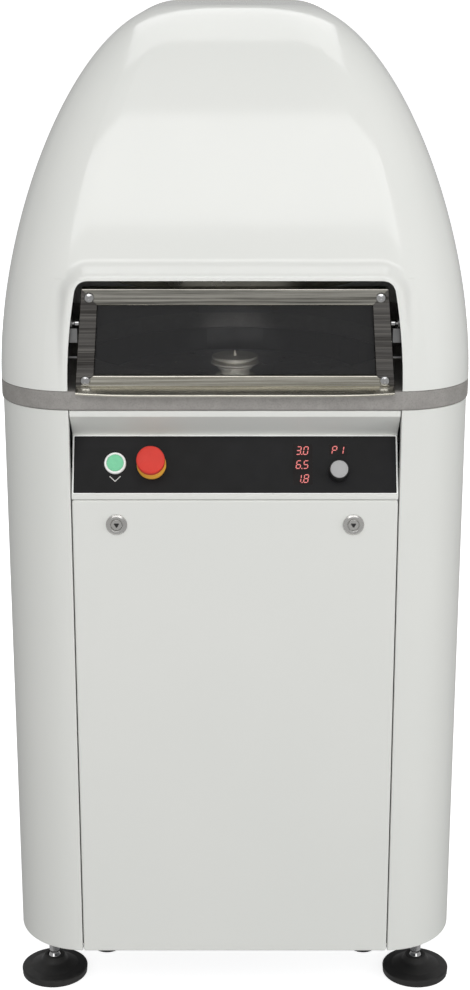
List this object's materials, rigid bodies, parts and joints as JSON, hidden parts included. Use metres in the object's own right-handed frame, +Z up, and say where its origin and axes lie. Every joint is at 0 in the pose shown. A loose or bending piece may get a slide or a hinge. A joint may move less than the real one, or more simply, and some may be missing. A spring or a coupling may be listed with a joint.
{
  "type": "dough divider rounder",
  "caption": "Floor-standing bakery dough divider and rounder: domed tilting hood with a swinging smoked flap, grey table band, control recess, lift-off door and levelling feet.",
  "frame": {"origin": "on the floor, under the middle of the machine's footprint", "axes": "+Z up, the front with the flap and the controls faces -Y, +X is to the right as seen from the front"},
  "size_m": [0.6564, 0.6964, 1.44],
  "materials": {
    "frame_steel": "matt grey",
    "foot": "satin black",
    "body_panel": "satin off-white powder coat",
    "hood": "glossy off-white gel coat on glass-fibre plastic",
    "table_casting": "grey textured coat",
    "control_plate": "satin black",
    "display": "dark red lens",
    "white_plastic": "glossy",
    "green_lens": "glossy translucent",
    "red_plastic": "satin",
    "yellow_plastic": "satin",
    "grey_plastic": "satin",
    "steel": "machined",
    "stainless": "polished",
    "chrome": "polished",
    "cast_aluminium": "turned",
    "cast_iron": "as cast",
    "bronze": "machined",
    "pane": "smoked, clear",
    "press_plate": "smooth",
    "motor": "painted",
    "tank": "painted, oil filled",
    "enclosure": "powder coated",
    "belt_rubber": "ribbed"
  },
  "bodies": {
    "cabinet": {"base_plate": "frame_steel", "cabinet_frame": "frame_steel", "foot_front_left": "foot", "foot_rear_left": "foot", "foot_front_right": "foot", "foot_rear_right": "foot", "door_rest_left": "steel", "door_rest_right": "steel", "side_panel_left": "body_panel", "side_panel_right": "body_panel", "rear_panel": "body_panel", "cable_gland": "belt_rubber", "control_fascia": "body_panel", "control_plate": "control_plate", "display_unit": "display", "start_bezel": "white_plastic", "estop_collar": "yellow_plastic", "machine_table": "table_casting", "well_pan": "table_casting", "main_bearing": "bronze", "drive_motor": "motor", "drive_belt": "belt_rubber", "hydraulic_tank": "tank", "pump_motor": "motor", "electrical_box": "enclosure", "head_pillar": "frame_steel", "head_arm": "frame_steel", "press_cylinder": "steel", "hinge_base_left": "steel", "hinge_base_right": "steel"},
    "hood": {"hood_shell": "hood", "hinge_leaf_left": "steel", "hinge_leaf_right": "steel", "flap_bracket_left": "steel", "flap_bracket_right": "steel"},
    "flap": {"flap_frame": "stainless", "flap_pane": "pane", "flap_pivot_left": "chrome", "flap_pivot_right": "chrome"},
    "door": {"front_door": "body_panel", "lock_housing_left": "chrome", "lock_housing_right": "chrome"},
    "lock_left": {"lock_barrel_left": "steel"},
    "lock_right": {"lock_barrel_right": "steel"},
    "start_button": {"start_cap": "green_lens"},
    "estop_plunger": {"estop_stem": "grey_plastic"},
    "estop_mushroom": {"estop_head": "red_plastic"},
    "selector_stem": {"selector_shaft": "steel"},
    "selector": {"selector_knob": "grey_plastic"},
    "press_head": {"piston_rod": "chrome", "press_bell": "cast_aluminium", "press_plate": "press_plate"},
    "knives": {"knife_star": "steel"},
    "crank": {"main_crank": "steel", "crank_pulley": "cast_iron"},
    "rounding_table": {"rounding_table": "cast_aluminium", "plate_hub": "chrome"},
    "side_crank_left": {"side_crank_left": "steel"},
    "side_crank_right": {"side_crank_right": "steel"},
    "motor_rotor": {"motor_pulley": "steel"}
  },
  "joints": [
    {"name": "hood_tilt", "type": "hinge", "parent": "cabinet", "child": "hood", "pos_m": [0, 0.338, 0.955], "axis": [-1, 0, 0], "range_deg": [0, 65]},
    {"name": "flap_swing", "type": "hinge", "parent": "hood", "child": "flap", "pos_m": [0, -0.312, 1.0375], "axis": [-1, 0, 0], "range_deg": [0, 75]},
    {"name": "door_tilt", "type": "hinge", "parent": "cabinet", "child": "door", "pos_m": [0, -0.33, 0.109], "axis": [1, 0, 0], "range_deg": [0, 30]},
    {"name": "lock_left_turn", "type": "hinge", "parent": "door", "child": "lock_left", "pos_m": [-0.161, -0.33, 0.763], "axis": [0, -1, 0], "range_deg": [0, 90]},
    {"name": "lock_right_turn", "type": "hinge", "parent": "door", "child": "lock_right", "pos_m": [0.161, -0.33, 0.763], "axis": [0, 1, 0], "range_deg": [0, 90]},
    {"name": "start_press", "type": "slide", "parent": "cabinet", "child": "start_button", "axis": [0, 0.8821, -0.4711], "range_m": [0, 0.004], "stiffness_N_per_m": 400, "springref_m": -0.004},
    {"name": "estop_press", "type": "slide", "parent": "cabinet", "child": "estop_plunger", "axis": [0, 0.8821, -0.4711], "range_m": [0, 0.005]},
    {"name": "estop_twist", "type": "hinge", "parent": "estop_plunger", "child": "estop_mushroom", "pos_m": [-0.1132, -0.32823, 0.85056], "axis": [0, 0.8821, -0.4711], "range_deg": [0, 40], "stiffness_Nm_per_rad": 0.06, "springref_deg": -14.32},
    {"name": "selector_push", "type": "slide", "parent": "cabinet", "child": "selector_stem", "axis": [0, 0.8821, -0.4711], "range_m": [0, 0.0015], "stiffness_N_per_m": 900, "springref_m": -0.003},
    {"name": "selector_turn", "type": "hinge", "parent": "selector_stem", "child": "selector", "pos_m": [0.1403, -0.32575, 0.83824], "axis": [0, 0.8821, -0.4711], "continuous": true},
    {"name": "press_stroke", "type": "slide", "parent": "cabinet", "child": "press_head", "axis": [0, 0, 1], "range_m": [-0.12, 0]},
    {"name": "knife_stroke", "type": "slide", "parent": "press_head", "child": "knives", "axis": [0, 0, 1], "range_m": [-0.016, 0]},
    {"name": "crank_spin", "type": "hinge", "parent": "cabinet", "child": "crank", "pos_m": [0, -0.018, 0.8], "axis": [0, 0, 1], "continuous": true},
    {"name": "table_orbit", "type": "hinge", "parent": "crank", "child": "rounding_table", "pos_m": [0, 0, 0.885], "axis": [0, 0, 1], "continuous": true},
    {"name": "side_crank_left_spin", "type": "hinge", "parent": "cabinet", "child": "side_crank_left", "pos_m": [-0.12, 0.052, 0.83], "axis": [0, 0, 1], "continuous": true},
    {"name": "side_crank_right_spin", "type": "hinge", "parent": "cabinet", "child": "side_crank_right", "pos_m": [0.12, 0.052, 0.83], "axis": [0, 0, 1], "continuous": true},
    {"name": "motor_spin", "type": "hinge", "parent": "cabinet", "child": "motor_rotor", "pos_m": [0, 0.19, 0.76], "axis": [0, 0, 1], "continuous": true}
  ],
  "couplings": [
    {"joint": "table_orbit", "follows": "crank_spin", "ratio": -1},
    {"joint": "side_crank_left_spin", "follows": "crank_spin", "ratio": 1},
    {"joint": "side_crank_right_spin", "follows": "crank_spin", "ratio": 1},
    {"joint": "motor_spin", "follows": "crank_spin", "ratio": 2.75}
  ]
}
